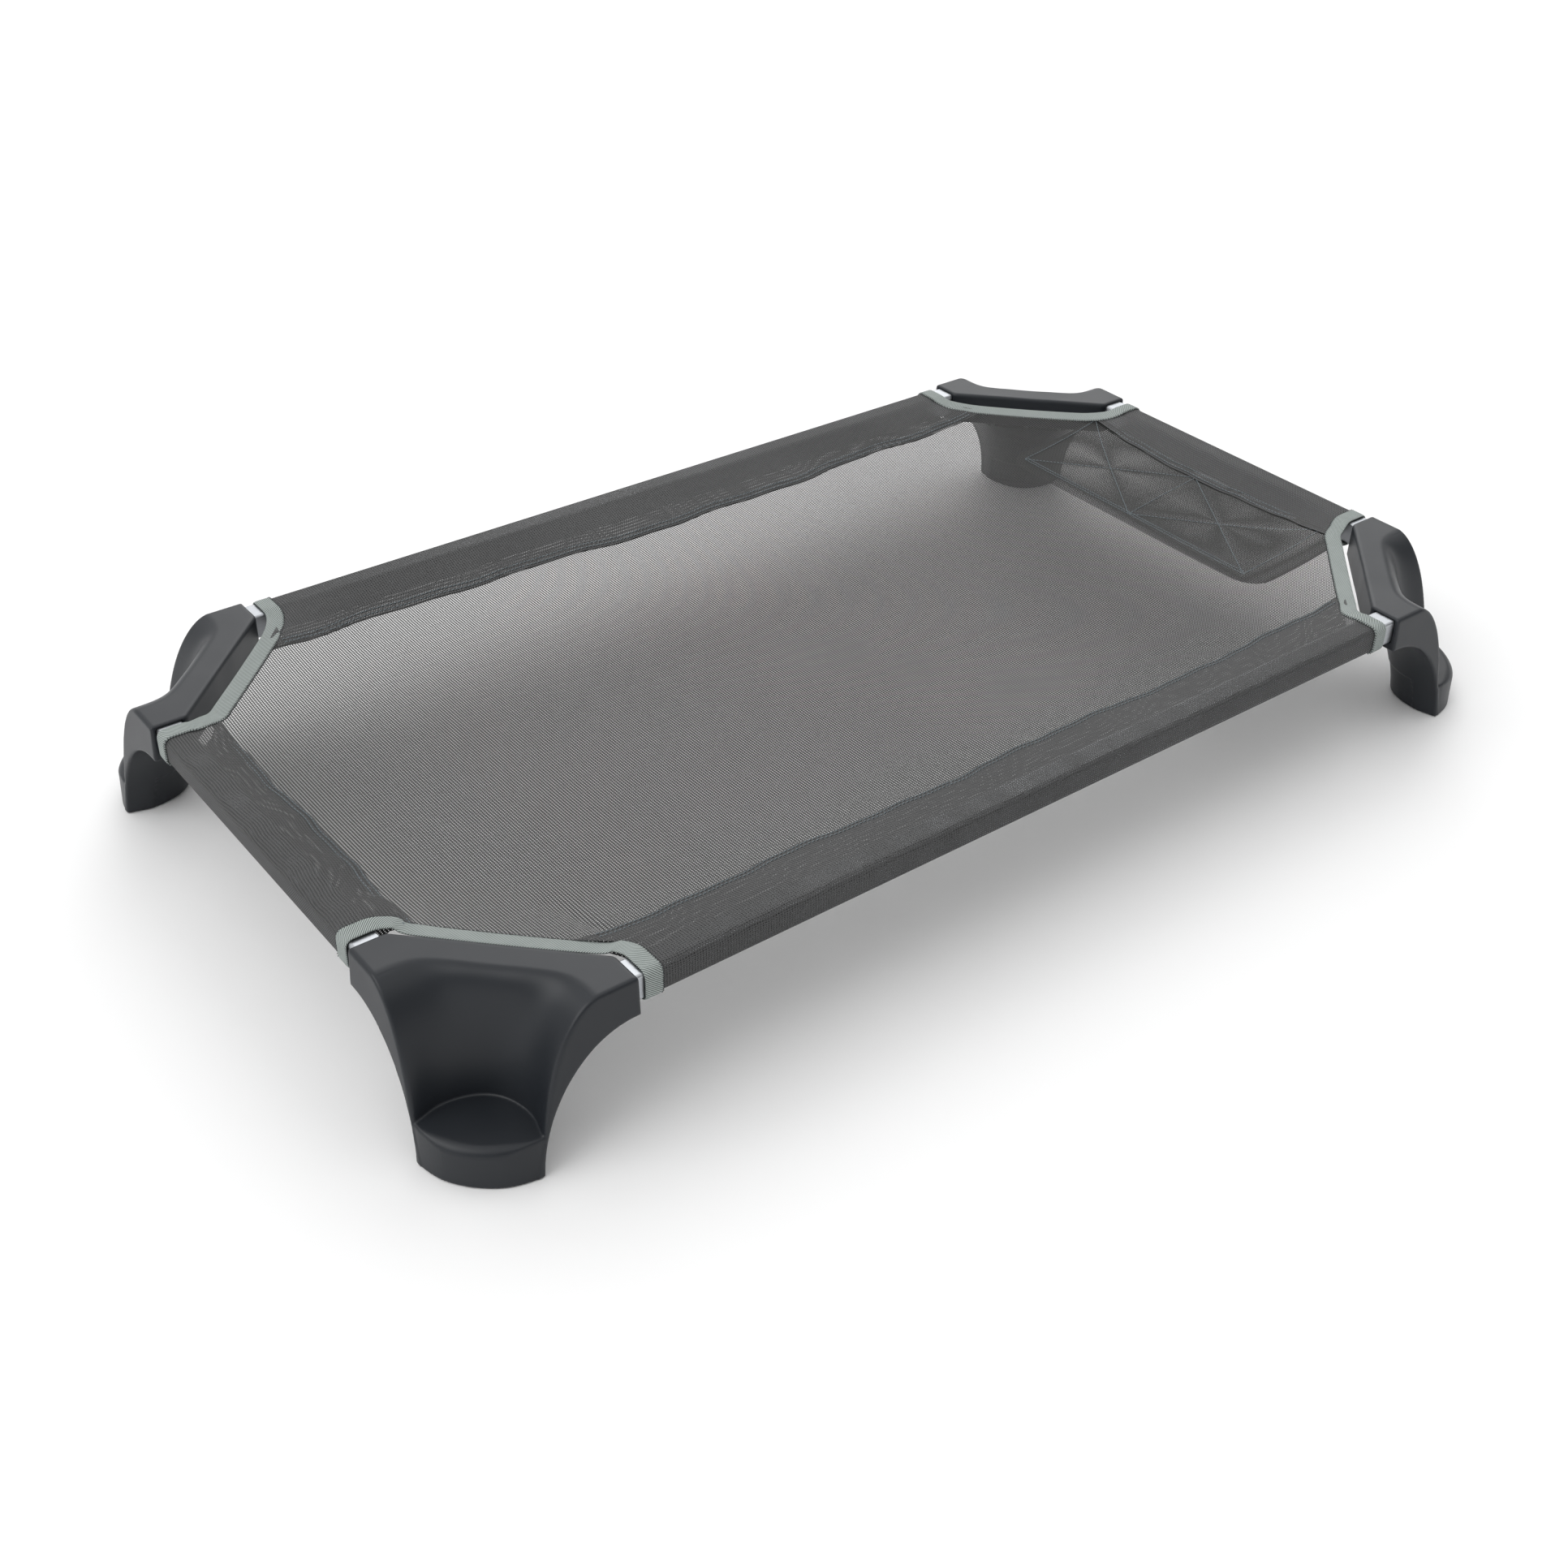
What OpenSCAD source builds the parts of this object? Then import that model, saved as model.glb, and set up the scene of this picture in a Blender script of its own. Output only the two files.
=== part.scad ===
// Raised dog bed: four moulded corner feet, a frame of square aluminium tube and a
// mesh cover sewn to sleeves round the tubes, with webbing round each cut corner.
// Millimetres. Origin on the floor at the middle of the bed, +X along its length,
// +Y across its width, +Z up. The front is the long side at -Y.

/* [Bed] */
// Length over the tops of the feet
bed_l = 1220; // [1000:10:1400]
// Width over the tops of the feet
bed_w = 690; // [620:10:800]
// Height of the feet
bed_h = 146; // [142:1:160]

/* [Feet] */
// Length of each arm of a foot, from the bed's corner to the arm's end
foot_arm = 160; // [155:1:175]
// Width of an arm at its end
foot_band = 33; // [32:0.5:36]
// Height of the end face that a tube enters
end_h = 36; // [34:0.5:37]
// Height of the stacking ledge
ledge_z = 38; // [34:1:44]
// How far a foot's outer sides lean out at the floor
foot_lean = 8; // [4:0.5:10]
// Wall of the moulding
foot_wall = 4; // [3.5:0.1:4.5]

/* [Tubes] */
// Outer size of the square tube
tube = 25; // [24:0.1:25.4]
// Wall of the tube
tube_wall = 1.2; // [1:0.1:2]
// Radius of the tube's outer corners
tube_r = 3; // [2:0.1:4]
// Gap between the tube and its socket, on each side
tube_gap = 0.15; // [0.1:0.05:0.3]
// Depth of the tube in its socket
tube_grip = 40; // [36:1:42]

/* [Cover] */
// Width of a long sleeve, from the foot's outer side to the hem
long_hem = 80; // [70:1:90]
// Width of a short sleeve, from the foot's outer side to the hem
short_hem = 60; // [56:1:70]
// Height of the mesh panel's middle
panel_z = 127.5; // [126:0.1:129]
// Thickness of one layer of cloth
cloth = 1.2; // [0.8:0.1:1.4]
// Width of the webbing
webbing = 16; // [14:0.5:18]
// Gap between a foot's end face and the webbing
bare_tube = 9.5; // [8:0.5:14]
// Reach of the flap under the right end, inward from the hem
flap_reach = 137; // [120:1:150]
// Reach of the flap towards the front, from the bed's middle
flap_front = 195; // [180:5:200]
// Reach of the flap towards the back, from the bed's middle
flap_back = 178; // [172:1:200]

/* [Hidden] */

charcoal = [0.16, 0.17, 0.18];
alloy = [0.75, 0.76, 0.78];
zinc = [0.6, 0.6, 0.62];
mesh_grey = [0.42, 0.42, 0.41];
sleeve_grey = [0.25, 0.25, 0.25];
web_grey = [0.50, 0.54, 0.51];
thread_grey = [0.45, 0.5, 0.53];

half_l = bed_l / 2;
half_w = bed_w / 2;
eps = 0.01;

// Each foot and corner is drawn with its outer corner at the origin and its arms
// along +X and +Y, then set in place by at_corner().
CORNERS = [[-1, -1], [1, -1], [-1, 1], [1, 1]];

// The foot's surfaces
toe_floor = 64;         // where the toe's front arc meets a side, at the floor
toe_ledge = 72.5;       // the same, at the ledge
toe_bulge_floor = 14.5; // rise of the toe's front arc, at the floor
toe_bulge_ledge = 22;   // the same, at the ledge
scoop_foot = 73;        // where the scoop meets a side, at the ledge
scoop_back = 92.5;      // its depth along the diagonal, at the ledge
scoop_draft = 14;       // how much it widens on a side from ledge to top, from its slope
scoop_flare = 39;       // how much more it widens there, curving out towards the top
scoop_flare_back = 20;  // and how much it deepens along the diagonal
under_foot = 73;        // where the underside meets a side, at the floor
under_top = foot_arm - 2;
under_back = 93.5;      // its depth along the diagonal, at the floor
under_draft = 17;
inner_face = (foot_arm + foot_band) / sqrt(2);
under_back_top = inner_face - 1;
arm_z = bed_h - end_h;
core_low = 111;         // the core under the arms, from this far along the diagonal
core_side = 37;         // and from this far in from each side
core_ribs = 3;
outside = 6;            // how far a cut reaches past the foot's sides
curve_steps = 16;
scoop_levels = 16;
under_levels = 12;

// The tubes
tube_inset = 4.5;       // from a foot's outer side to the tube
tube_drop = 3;          // from a foot's top to the tube
tube_mid = tube_inset + tube / 2;
tube_z = bed_h - tube_drop - tube / 2;
socket = tube + 2 * tube_gap;

// The screws, one under each arm
screw_at = foot_arm - 20;
screw_r = 2;
screw_head_r = 4;
screw_head_h = 2.6;
screw_seat_z = tube_z - tube / 2 - 6;
screw_tip = 5;

// The cover
web_ply = 2.5;
web_u0 = foot_arm + bare_tube;
web_u1 = web_u0 + webbing + 1;
web_line_out = foot_arm + foot_band + 18;
web_line_in = web_line_out + webbing * sqrt(2);
web_z = 135.5;
web_h = 3;
cloth_gap = 0.5;
cut_line = web_line_in + cloth_gap;
sleeve_gap = 0.3;
hem_tip = 0.6;
thread = 0.8;
thread_clear = 0.12;
stitch_rows = [3, 8];
box_inner = 120;        // from the hem to the boxes' inner side
box_half_w = 168;
box_mid = 5;
panel_top = panel_z + cloth / 2;

// Places a corner's shape: s is the corner's side along X and along Y.
module at_corner(s) {
  translate([s[0] * half_l, s[1] * half_w, 0])
    mirror([s[0] > 0 ? 1 : 0, 0, 0])
      mirror([0, s[1] > 0 ? 1 : 0, 0])
        children();
}

// Joins loops of equal length, listed from the bottom up, into a closed solid.
module loft(loops) {
  n = len(loops[0]);
  m = len(loops);
  sides = [
    for (j = [0:m - 2], i = [0:n - 1])
      let (k = (i + 1) % n, a = j * n + i, b = j * n + k)
        each [[a, a + n, b], [b, a + n, b + n]]
  ];
  caps = [[for (i = [0:n - 1]) i], [for (i = [n - 1:-1:0]) (m - 1) * n + i]];
  polyhedron(points = [for (l = loops) each l], faces = concat(sides, caps), convexity = 6);
}

// Height share of a level, with the levels closer together towards the top.
function crowd(i, n, power) = 1 - pow(1 - i / n, power);

// A corner cut off by a flat across the diagonal, at height z: from [reach, 0] to
// [0, reach], with the flat at depth. A high power p keeps its corners sharp, and pinch
// draws its two ends in.
function quarter(reach, depth, p, pinch, z) =
  let (side = reach / (1 - pinch))
    [
      for (i = [0:curve_steps])
        let (
          t = 90 * i / curve_steps,
          bend = pow(cos(t) / side, p) + pow(sin(t) / side, p) + pow(cos(t - 45) / depth, p),
          r = pow(bend, -1 / p) * (1 - pinch * pow(abs(cos(2 * t)), 10))
        )
          [r * cos(t), r * sin(t), z]
    ];

// How far a foot's outer sides stand out at height z, and a loop moved out with them.
function lean(z) = foot_lean * (1 - z / bed_h);
function leaned(loop) = [for (p = loop) [p[0] - lean(p[2]), p[1] - lean(p[2]), p[2]]];

// An arc from [end, inset] to [inset, end], whose apex on the diagonal is at depth apex.
function toe_arc(end, inset, apex, z) =
  let (
    mid = (end + inset) / sqrt(2),
    chord = (end - inset) / sqrt(2),
    rise = mid - apex,
    r = (chord * chord + rise * rise) / (2 * rise),
    sweep = asin(chord / r)
  )
    [
      for (i = [0:curve_steps])
        let (
          t = sweep * (2 * i / curve_steps - 1),
          away = apex + r - r * cos(t),
          side = -r * sin(t)
        )
          [(away + side) / sqrt(2), (away - side) / sqrt(2), z]
    ];

// Where the scoop meets a foot's side, and its depth on the diagonal, for t from 0 at
// the ledge to 1 at the top.
function scoop_reach(t) = scoop_foot + scoop_draft * t + scoop_flare * (1 - sqrt(1 - pow(t, 2.7)));
function scoop_depth(t) = scoop_back + 3.5 - 3 * t + scoop_flare_back * (1 - sqrt(1 - pow(t, 5)));
function scoop_loop(t, z) =
  quarter(scoop_reach(t), scoop_depth(t), 8 + 12 * t * t, 0.09 * pow(1 - t, 1.5), z);

// The same for the underside, for t from 0 at the floor to 1 at the arms.
function under_reach(t) = under_top - (under_top - under_foot) * pow(1 - t * t, 1 / 2.1);
function under_depth(t) =
  let (flare = under_back_top - under_back - under_draft)
    under_back + 3.5 + (under_draft - 3.5) * t + flare * (1 - sqrt(1 - pow(t, 4)));
function under_loop(t, inward, z) =
  quarter(under_reach(t) - inward, under_depth(t) - inward, 8 + 8 * t * t, 0.09 * sqrt(1 - t), z);

// The toe's front arc, for t from 0 at the floor to 1 at the ledge.
function toe_end(t) = toe_floor + (toe_ledge - toe_floor) * t;
function toe_apex(t) =
  toe_end(t) / sqrt(2) - toe_bulge_floor - (toe_bulge_ledge - toe_bulge_floor) * t;

// A loop along a curve and back round outside both of the foot's outer sides. Near each
// side the curve runs on straight past it, with no point on the side itself.
function round_corner(curve, z) =
  let (
    n = len(curve) - 1,
    a = curve[0][0] + (curve[0][0] - curve[2][0]) * outside / curve[2][1],
    b = curve[n][1] + (curve[n][1] - curve[n - 2][1]) * outside / curve[n - 2][0]
  )
    concat(
      [[a, -outside, z]],
      [for (i = [2:n - 2]) curve[i]],
      [[-outside, b, z], [-outside, -outside, z]]
    );

// Space of the leg and of the curved underside.
module leg_space() {
  loft([
    for (i = [0:under_levels + 1])
      let (
        t = crowd(min(i, under_levels), under_levels, 1.6),
        z = (arm_z + 0.5) * t + (i < 1 ? -1 : i > under_levels ? 5 : 0)
      )
        leaned(round_corner(under_loop(t, 0, z), z))
  ]);
}

module arm_block() {
  out = 2 * outside;
  translate([0, 0, arm_z])
    linear_extrude(height = end_h + 1)
      polygon([
        [-out, -out], [foot_arm, -out], [foot_arm, foot_band],
        [foot_band, foot_arm], [-out, foot_arm]
      ]);
}

// The block a foot is cut from, with its two outer sides leaning out.
module foot_block() {
  far = foot_arm + outside;
  loft([
    for (z = [0, bed_h])
      let (m = lean(z))
        [[-m, -m, z], [far, -m, z], [far, far, z], [-m, far, z]]
  ]);
}

// The hollow on the outer corner, above the ledge.
module scoop() {
  loft([
    for (i = [0:scoop_levels + 1])
      let (
        t = crowd(min(i, scoop_levels), scoop_levels, 2.4),
        z = ledge_z + (bed_h + 0.02 - ledge_z) * t + (i > scoop_levels ? 2 : 0)
      )
        leaned(round_corner(scoop_loop(t, z), z))
  ]);
}

// Everything in front of the toe, from below the floor to just above the ledge. Its arc
// ends a little outside the foot's sides.
module toe_cut() {
  loft([
    for (t = [-0.25, 0.25, 0.5, 0.75, 1.02])
      let (z = ledge_z * t, e = toe_end(t))
        leaned(concat(
          [[e, -outside, z]],
          toe_arc(e, -0.05, toe_apex(t), z),
          [[-outside, e, z], [-outside, -outside, z]]
        ))
  ]);
}

// The hollow in the leg, open at the floor.
module leg_hollow() {
  side = 2 * foot_wall;
  loft([
    for (t = [-0.25, 0.25, 0.5, 0.75, 1])
      let (
        z = (ledge_z - foot_wall) * t,
        level = max(z, 0) / arm_z,
        reach = under_reach(level) - foot_wall,
        back = under_loop(level, foot_wall, z),
        front = toe_arc(toe_end(t) - 13, side, toe_apex(t) + foot_wall, z)
      )
        leaned(concat(
          [[reach, side, z]],
          [for (k = [2:curve_steps - 2]) back[k]],
          [[side, reach, z]],
          [for (k = [curve_steps:-1:0]) front[k]]
        ))
  ]);
}

// The ribbed hollow under the arms, between the tubes and the inner face.
module arm_core() {
  bay = (inner_face - core_side * sqrt(2) - foot_wall) * 2 / (core_ribs + 1);
  intersection() {
    translate([0, 0, arm_z - 3 * foot_wall])
      linear_extrude(height = end_h + 2 * foot_wall)
        polygon([
          [core_side, core_low * sqrt(2) - core_side],
          [core_side, (inner_face - foot_wall) * sqrt(2) - core_side],
          [(inner_face - foot_wall) * sqrt(2) - core_side, core_side],
          [core_low * sqrt(2) - core_side, core_side]
        ]);
    rotate([0, 0, 45])
      for (i = [0:core_ribs])
        translate([0, (i - (core_ribs + 1) / 2) * bay + foot_wall / 2, 0])
          cube([foot_arm, bay - foot_wall, bed_h]);
  }
}

// Copies a shape that lies along the X arm to the Y arm as well.
module both_arms() {
  children();
  mirror([1, -1, 0]) children();
}

module tube_socket() {
  translate([foot_arm - tube_grip - 1, tube_mid - socket / 2, tube_z - socket / 2])
    cube([tube_grip + outside, socket, socket]);
}

module screw_hole() {
  translate([screw_at, tube_mid, 0])
    union() {
      cylinder(r = screw_head_r + 0.6, h = screw_seat_z, $fn = 32);
      cylinder(r = screw_r + 0.2, h = tube_z, $fn = 32);
    }
}

module foot(s) {
  color(charcoal)
    at_corner(s)
      difference() {
        intersection() {
          foot_block();
          union() {
            leg_space();
            arm_block();
          }
        }
        scoop();
        toe_cut();
        leg_hollow();
        arm_core();
        both_arms() tube_socket();
        both_arms() screw_hole();
      }
}

// A square with rounded corners
module round_square(size, r) {
  for (x = [-1, 1], y = [-1, 1])
    translate([x * (size / 2 - r), y * (size / 2 - r)]) circle(r, $fn = 32);
  square([size, size - 2 * r], center = true);
  square([size - 2 * r, size], center = true);
}

// A tube along Y, centred on the origin, with a screw hole near each end.
module frame_tube(length) {
  color(alloy)
    difference() {
      rotate([90, 0, 0])
        linear_extrude(height = length, center = true)
          difference() {
            round_square(tube, tube_r);
            round_square(tube - 2 * tube_wall, tube_r - tube_wall);
          }
      for (y = [-1, 1])
        translate([0, y * (length / 2 - tube_grip + foot_arm - screw_at), -tube])
          cylinder(r = screw_r + 0.1, h = tube, $fn = 32);
    }
}

module long_tube(side) {
  translate([0, side * (half_w - tube_mid), tube_z])
    rotate([0, 0, 90]) frame_tube(bed_l - 2 * (foot_arm - tube_grip));
}

module short_tube(side) {
  translate([side * (half_l - tube_mid), 0, tube_z])
    frame_tube(bed_w - 2 * (foot_arm - tube_grip));
}

// A pan-head screw, head down, with a cross recess.
module screw() {
  shank = tube_z - tube / 2 + tube_wall + screw_tip - screw_seat_z;
  difference() {
    union() {
      translate([0, 0, -screw_head_h]) cylinder(r = screw_head_r, h = screw_head_h, $fn = 32);
      cylinder(r = screw_r, h = shank - screw_r, $fn = 32);
      translate([0, 0, shank - screw_r]) cylinder(r1 = screw_r, r2 = 0.4, h = screw_r, $fn = 32);
    }
    for (a = [0, 90])
      rotate([0, 0, a])
        translate([-2, -0.5, -screw_head_h - 1]) cube([4, 1, 2.2]);
  }
}

module tube_screws() {
  color(zinc)
    for (s = CORNERS)
      at_corner(s)
        both_arms() translate([screw_at, tube_mid, screw_seat_z]) screw();
}

// Plan of the cover inside the four cut corners, out to the tubes.
module cover_plan() {
  u = half_l;
  v = half_w;
  w = web_u1 + cloth_gap;
  k = cut_line - w;
  corner = [[u - w, v], [u - w, v - k], [u - k, v - w], [u, v - w]];
  polygon(concat(
    corner,
    [for (i = [3:-1:0]) [corner[i][0], -corner[i][1]]],
    [for (i = [0:3]) [-corner[i][0], -corner[i][1]]],
    [for (i = [3:-1:0]) [-corner[i][0], corner[i][1]]]
  ));
}

module mesh_panel() {
  color(mesh_grey)
    translate([0, 0, panel_z - cloth / 2])
      linear_extrude(height = cloth)
        intersection() {
          cover_plan();
          square([bed_l - 2 * short_hem - cloth_gap, bed_w - 2 * long_hem - cloth_gap], center = true);
        }
}

function arc_points(x, y, r, from, to, steps) =
  [for (i = [0:steps]) let (a = from + (to - from) * i / steps) [x + r * cos(a), y + r * sin(a)]];

// Outline of a sleeve, in a plane across its tube: round the tube, then straight from
// the tube's top and bottom to the hem. grow is added all round the tube.
function drop_outline(hem, grow, tip) =
  let (
    r = tube_r + grow,
    h = tube / 2 - tube_r,
    top = tube_z + h,
    low = tube_z - h,
    slope = atan2(top + r - panel_z, hem - tube_mid - h)
  )
    concat(
      [[hem, panel_z - tip], [hem, panel_z + tip]],
      arc_points(tube_mid + h, top, r, 90 - slope, 90, 3),
      arc_points(tube_mid - h, top, r, 90, 180, 5),
      arc_points(tube_mid - h, low, r, 180, 270, 5),
      arc_points(tube_mid + h, low, r, 270, 280, 2)
    );

// A sleeve along Y, with its outer side at X = 0 and its hem towards +X.
module sleeve_bar(hem, length) {
  rotate([90, 0, 0])
    linear_extrude(height = length, center = true)
      difference() {
        polygon(drop_outline(hem, sleeve_gap + cloth, hem_tip));
        polygon(drop_outline(hem - 4, sleeve_gap, 0.2));
      }
}

module within_cover() {
  intersection() {
    children();
    linear_extrude(height = bed_h + outside) cover_plan();
  }
}

module long_sleeve(side) {
  color(sleeve_grey)
    within_cover()
      translate([0, side * half_w, 0])
        rotate([0, 0, -90 * side]) sleeve_bar(long_hem, bed_l);
}

module short_sleeve(side) {
  color(sleeve_grey)
    within_cover()
      translate([side * half_l, 0, 0])
        rotate([0, 0, side > 0 ? 180 : 0]) sleeve_bar(short_hem, bed_w);
}

// Webbing wrapped round both tubes at a corner, and along the cover's cut edge.
module binding(s) {
  ring = tube + 2 * sleeve_gap;
  k0 = tube_mid + ring / 2 + 1;
  color(web_grey)
    at_corner(s)
      union() {
        both_arms()
          translate([web_u0, tube_mid, tube_z])
            rotate([90, 0, 90])
              linear_extrude(height = web_u1 - web_u0)
                difference() {
                  round_square(ring + 2 * web_ply, tube_r + web_ply);
                  round_square(ring, tube_r);
                }
        translate([0, 0, web_z])
          linear_extrude(height = web_h)
            polygon([
              [web_line_out - k0, k0], [web_u1, k0], [web_u1, web_line_in - web_u1],
              [web_line_in - web_u1, web_u1], [k0, web_u1], [k0, web_line_out - k0]
            ]);
      }
}

// The flap of spare cloth under the right end of the panel.
module end_flap() {
  flap_r = 28;
  hem_x = half_l - short_hem - cloth_gap / 2;
  color(mesh_grey)
    translate([0, 0, panel_z - cloth * 1.5 - cloth_gap])
      linear_extrude(height = cloth)
        intersection() {
          cover_plan();
          translate([hem_x - flap_reach, -flap_front])
            union() {
              translate([flap_r, 0]) square([flap_reach - flap_r, flap_front + flap_back]);
              translate([0, flap_r])
                square([flap_r + eps, flap_front + flap_back - 2 * flap_r]);
              for (y = [flap_r, flap_front + flap_back - flap_r])
                translate([flap_r, y]) circle(flap_r, $fn = 48);
            }
        }
}

// Height of the top of a sleeve at a distance in from its hem
function sleeve_top(hem, in) =
  panel_z + hem_tip + in * (tube_z + tube / 2 + sleeve_gap + cloth - panel_z - hem_tip)
  / (hem - tube_mid - tube / 2 + tube_r);

// Two rows of thread along Y on top of a sleeve's hem
module hem_rows(hem, length) {
  for (in = stitch_rows)
    translate([hem - in - thread / 2, -length / 2, sleeve_top(hem, in) + thread_clear])
      cube([thread, length, thread]);
}

module long_stitching(side) {
  color(thread_grey)
    within_cover()
      translate([0, side * half_w, 0])
        rotate([0, 0, -90 * side]) hem_rows(long_hem, bed_l);
}

module short_stitching(side) {
  color(thread_grey)
    within_cover()
      translate([side * half_l, 0, 0])
        rotate([0, 0, side > 0 ? 180 : 0]) hem_rows(short_hem, bed_w);
}

// A straight row of thread in plan, from a to b
module thread_row(a, b) {
  d = b - a;
  translate(a)
    rotate([0, 0, atan2(d[1], d[0])])
      translate([0, -thread / 2]) square([norm(d), thread]);
}

// The boxes with crossed diagonals that hold the flap to the panel.
module flap_stitching() {
  x1 = half_l - short_hem - 1;
  x0 = x1 - box_inner;
  low = -box_half_w;
  color(thread_grey)
    translate([0, 0, panel_top + thread_clear])
      linear_extrude(height = thread)
        union() {
          thread_row([x0, low], [x0, box_half_w]);
          thread_row([x0 + 4, low], [x0 + 4, box_half_w]);
          for (y = [low, box_mid, box_half_w]) thread_row([x0, y], [x1, y]);
          for (y = [[low, box_mid], [box_mid, box_half_w]]) {
            thread_row([x0, y[0]], [x1, y[1]]);
            thread_row([x0, y[1]], [x1, y[0]]);
          }
        }
}

foot(CORNERS[0]);  // foot_front_left
foot(CORNERS[1]);  // foot_front_right
foot(CORNERS[2]);  // foot_back_left
foot(CORNERS[3]);  // foot_back_right
long_tube(-1);  // tube_front
long_tube(1);  // tube_back
short_tube(-1);  // tube_left
short_tube(1);  // tube_right
tube_screws();
mesh_panel();
long_sleeve(-1);  // sleeve_front
long_sleeve(1);  // sleeve_back
short_sleeve(-1);  // sleeve_left
short_sleeve(1);  // sleeve_right
binding(CORNERS[0]);  // binding_front_left
binding(CORNERS[1]);  // binding_front_right
binding(CORNERS[2]);  // binding_back_left
binding(CORNERS[3]);  // binding_back_right
end_flap();
long_stitching(-1);  // hem_stitching_front
long_stitching(1);  // hem_stitching_back
short_stitching(-1);  // hem_stitching_left
short_stitching(1);  // hem_stitching_right
flap_stitching();
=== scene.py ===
import math

import bpy
import numpy as np
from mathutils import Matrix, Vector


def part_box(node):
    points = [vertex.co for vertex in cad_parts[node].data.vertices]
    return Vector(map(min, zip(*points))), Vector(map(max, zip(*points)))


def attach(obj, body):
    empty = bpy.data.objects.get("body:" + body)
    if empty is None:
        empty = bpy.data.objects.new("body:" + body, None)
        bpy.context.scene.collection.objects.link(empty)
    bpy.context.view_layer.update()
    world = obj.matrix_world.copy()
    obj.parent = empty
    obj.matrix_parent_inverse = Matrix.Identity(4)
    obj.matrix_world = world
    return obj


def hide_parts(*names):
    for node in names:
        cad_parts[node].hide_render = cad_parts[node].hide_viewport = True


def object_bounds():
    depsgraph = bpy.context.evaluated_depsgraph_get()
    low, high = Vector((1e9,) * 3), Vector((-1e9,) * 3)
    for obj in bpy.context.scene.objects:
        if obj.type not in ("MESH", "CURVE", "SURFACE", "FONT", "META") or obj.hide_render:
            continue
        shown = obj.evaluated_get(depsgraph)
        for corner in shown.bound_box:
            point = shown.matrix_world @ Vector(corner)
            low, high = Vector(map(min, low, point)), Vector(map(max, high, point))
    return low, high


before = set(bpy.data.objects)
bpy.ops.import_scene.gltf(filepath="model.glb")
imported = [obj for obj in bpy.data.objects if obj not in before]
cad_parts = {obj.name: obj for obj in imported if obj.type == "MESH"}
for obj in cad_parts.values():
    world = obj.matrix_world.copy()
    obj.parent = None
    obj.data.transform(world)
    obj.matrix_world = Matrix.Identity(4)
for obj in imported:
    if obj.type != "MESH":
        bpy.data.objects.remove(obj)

import openvdb
from mathutils import Matrix, Vector
from mathutils.geometry import tessellate_polygon

MM = 0.001
cad_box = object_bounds()

# ---------------------------------------------------------------- sizes, in millimetres
FOOT_LEAN = 8          # how far a foot's outer sides lean out at the floor
HALF_L = cad_box[1].x / MM - FOOT_LEAN
HALF_W = cad_box[1].y / MM - FOOT_LEAN
BED_H = cad_box[1].z / MM
tube_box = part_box("tube_front")
TUBE = (tube_box[1].z - tube_box[0].z) / MM
TUBE_Z = (tube_box[1].z + tube_box[0].z) / 2 / MM
TUBE_V = HALF_W + (tube_box[1].y + tube_box[0].y) / 2 / MM
panel_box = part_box("mesh_panel")
HEM_Z = (panel_box[1].z + panel_box[0].z) / 2 / MM - 0.6
LONG_HEM = HALF_W - panel_box[1].y / MM
SHORT_HEM = HALF_L - panel_box[1].x / MM
CORNERS = {"front_left": (-1, -1), "front_right": (1, -1), "back_left": (-1, 1), "back_right": (1, 1)}
ROOT2 = math.sqrt(2)

# A foot
FOOT_ARM = 160         # from the bed's corner to the end of each arm
FOOT_BAND = 33         # where the flat across the arms meets an arm's end, in from the outer side
END_H = 36             # height of an arm's end
ARM_Z = BED_H - END_H
LEDGE_Z = 38
FOOT_WALL = 4
CORE_IN = 37           # from the outer sides to the ribbed hollow under the arms
CORE_BACK = 111        # from the corner to that hollow, along the diagonal
CORE_BELOW = 12        # how far the cut for it starts below the arms, so that it is open there
RIB_BAYS = 4
RECESS_H = 35          # of the shallow recess in the leg's inner side
RECESS_HALF_W = 37
RECESS_DEPTH = 0.9
TOE_HOLLOW = 13        # how far the leg's hollow stays back from the toe's ends

# Tubes and screws
TUBE_GRIP = 40         # how far a tube goes into an arm
TUBE_CLEARANCE = 0.35  # round a tube in its socket
SCREW_U = FOOT_ARM - 20
SCREW_HEAD_R = 4.6
SCREW_HEAD_DOWN = 6    # from the tube's underside to the head's seat
SCREW_R = 2.2

# Cloth
SLEEVE_OFF = 1.4       # from the tube's side to the sleeve
SLEEVE_R = 7           # rounding of a sleeve's corners
HEM_HALF = 0.7         # half the distance between a hem's two layers
PANEL_OVERLAP = 10     # of the panel, past each hem
SAG = 5
CREASE = 5             # depth of the crease at the front left strap
PUCKER = 4.5           # of the panel between the crossed stitches
FLAP_OVERLAP = 7       # of the flap, past the right hem
FLAP_R = 28
FLAP_DROP = 1.3        # of the flap, below the panel
FLAP_PUCKER = 1.5      # how much more it hangs between the crossed stitches
FLAP_SHIFT = [0.58, 1.43]    # of its weave from the panel's
YARN_X, YARN_Y = 2.63, 2.08

# Webbing
TAPE_OFF = 1.9         # from the tube's side to the middle of the tape
TAPE_R = 6.5
TAPE_HALF_W = 8.3
TAPE_HALF_T = 1.15
WHIP_PITCH = 2.6       # of the short stitches over the tape's edge
WHIP_R = 0.32
STRAP_Z = BED_H - 9
CUT_SUM = 224          # u + v along the cloth's cut edge, inside the webbing
CLOTH_U = 179          # the same edge where it crosses a tube
# Middle of each webbing ring, from the bed's corner: on the long tube and on the short one
WEB_U = {
    "front_left": (174.5, 176),
    "front_right": (183, 174),
    "back_left": (178, 174),
    "back_right": (182, 180),
}
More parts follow.
